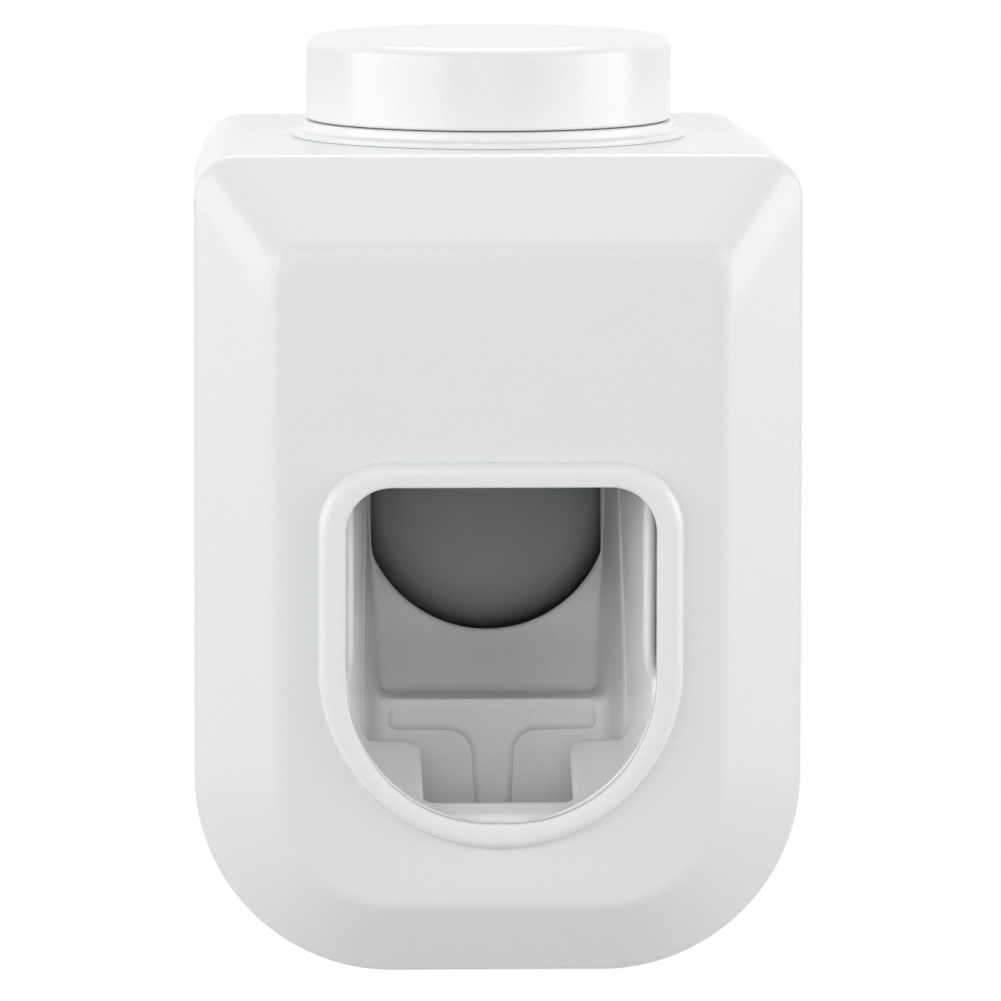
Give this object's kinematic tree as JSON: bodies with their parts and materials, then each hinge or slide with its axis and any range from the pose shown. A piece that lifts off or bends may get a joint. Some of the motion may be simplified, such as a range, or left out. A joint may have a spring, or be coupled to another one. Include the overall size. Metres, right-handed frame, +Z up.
{
  "type": "toothpaste dispenser",
  "caption": "Wall-hung vacuum toothpaste dispenser: white shell with a round capped inlet on top and a brush window with a push lever and pump bulb.",
  "frame": {"origin": "middle of the wall face, on the back of the adhesive pad", "axes": "+X to the right seen from the front, +Y back into the wall, +Z up"},
  "size_m": [0.06, 0.0644, 0.091],
  "materials": {
    "shell_white": "moulded ABS, satin gloss",
    "bezel_white": "moulded ABS, gloss",
    "guide_grey": "moulded ABS, satin",
    "lever_grey": "moulded acetal, satin",
    "cap_white": "moulded ABS, satin gloss",
    "bulb_silicone": "moulded silicone, satin",
    "seal_silicone": "moulded silicone, matt",
    "frame_plastic": "moulded ABS, matt",
    "pump_plastic": "moulded polypropylene, matt",
    "bush_acetal": "acetal, smooth",
    "screw_steel": "zinc plated",
    "axle_steel": "ground stainless",
    "stop_rubber": "moulded rubber, matt",
    "pad_foam": "acrylic foam tape"
  },
  "bodies": {
    "bracket": {"adhesive_pad": "pad_foam", "wall_plate": "frame_plastic"},
    "housing": {"rear_housing": "shell_white", "chassis": "frame_plastic", "chassis_screws": "screw_steel", "pump_body": "pump_plastic", "pump_screws": "screw_steel", "inlet_collar": "cap_white", "neck_ring": "seal_silicone", "tube_gasket": "seal_silicone", "inlet_valve": "seal_silicone", "pump_bulb": "bulb_silicone", "bulb_ring": "bulb_silicone", "duct_plugs": "pump_plastic", "outlet_valve": "seal_silicone", "nozzle": "pump_plastic", "lever_axle": "axle_steel", "axle_clips": "screw_steel", "lever_stop": "stop_rubber"},
    "cover": {"front_panel": "shell_white", "front_cover": "shell_white", "window_bezel": "bezel_white", "brush_guide": "guide_grey", "guide_screws": "screw_steel"},
    "lever": {"push_lever": "lever_grey", "lever_bushes": "bush_acetal"},
    "cap": {"dust_cap": "cap_white", "cap_seal": "pad_foam"}
  },
  "joints": [
    {"name": "dispenser_lift", "type": "slide", "parent": "bracket", "child": "housing", "axis": [0, 0, 1], "range_m": [0, 0.009]},
    {"name": "cover_pull", "type": "slide", "parent": "housing", "child": "cover", "axis": [0, -1, 0], "range_m": [0, 0.04]},
    {"name": "lever_swing", "type": "hinge", "parent": "housing", "child": "lever", "pos_m": [0, -0.018, 0.0285], "axis": [1, 0, 0], "range_deg": [0, 13], "stiffness_Nm_per_rad": 0.5, "springref_deg": -5.73, "deforming": ["pump_bulb"]},
    {"name": "cap_lift", "type": "slide", "parent": "housing", "child": "cap", "axis": [0, 0, 1], "range_m": [0, 0.05]}
  ]
}
